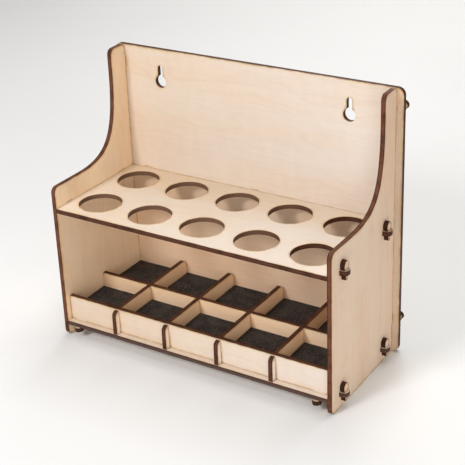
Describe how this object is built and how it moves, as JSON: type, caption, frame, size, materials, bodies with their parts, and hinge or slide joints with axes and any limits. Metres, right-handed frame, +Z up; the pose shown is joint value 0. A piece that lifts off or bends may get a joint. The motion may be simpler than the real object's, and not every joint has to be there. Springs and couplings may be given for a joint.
{
  "type": "workstation organizer",
  "caption": "Laser-cut plywood workstation organizer: a shelf with round holes for bottles and tools over a tray of foam-lined cells, with a tall back panel and keyhole hangers.",
  "frame": {"origin": "on the floor under the middle of the object's box", "axes": "+X to the right seen from the front, +Y towards the back panel, +Z up"},
  "size_m": [0.2722, 0.119, 0.2306],
  "materials": {
    "plywood_panel": "sanded bare plywood, laser-burnt edges",
    "plywood_side": "sanded bare plywood, upright grain, laser-burnt edges",
    "plywood_key": "small bare plywood cut-outs, laser-burnt edges",
    "foam": "matte closed-cell foam"
  },
  "bodies": {
    "root": {"back_panel": "plywood_panel", "bottle_shelf": "plywood_panel", "cross_divider_1": "plywood_panel", "cross_divider_2": "plywood_panel", "cross_divider_3": "plywood_panel", "cross_divider_4": "plywood_panel", "front_strip": "plywood_panel", "key_back_left_lower": "plywood_key", "key_back_left_upper": "plywood_key", "key_back_right_lower": "plywood_key", "key_back_right_upper": "plywood_key", "key_shelf_left_front": "plywood_key", "key_shelf_left_rear": "plywood_key", "key_shelf_right_front": "plywood_key", "key_shelf_right_rear": "plywood_key", "key_strip_left": "plywood_key", "key_strip_right": "plywood_key", "key_tray_left_front": "plywood_key", "key_tray_left_rear": "plywood_key", "key_tray_right_front": "plywood_key", "key_tray_right_rear": "plywood_key", "long_divider": "plywood_panel", "pad_front_1": "foam", "pad_front_2": "foam", "pad_front_3": "foam", "pad_front_4": "foam", "pad_front_5": "foam", "pad_rear_1": "foam", "pad_rear_2": "foam", "pad_rear_3": "foam", "pad_rear_4": "foam", "pad_rear_5": "foam", "side_left": "plywood_side", "side_right": "plywood_side", "tray_board": "plywood_panel"}
  },
  "joints": []
}
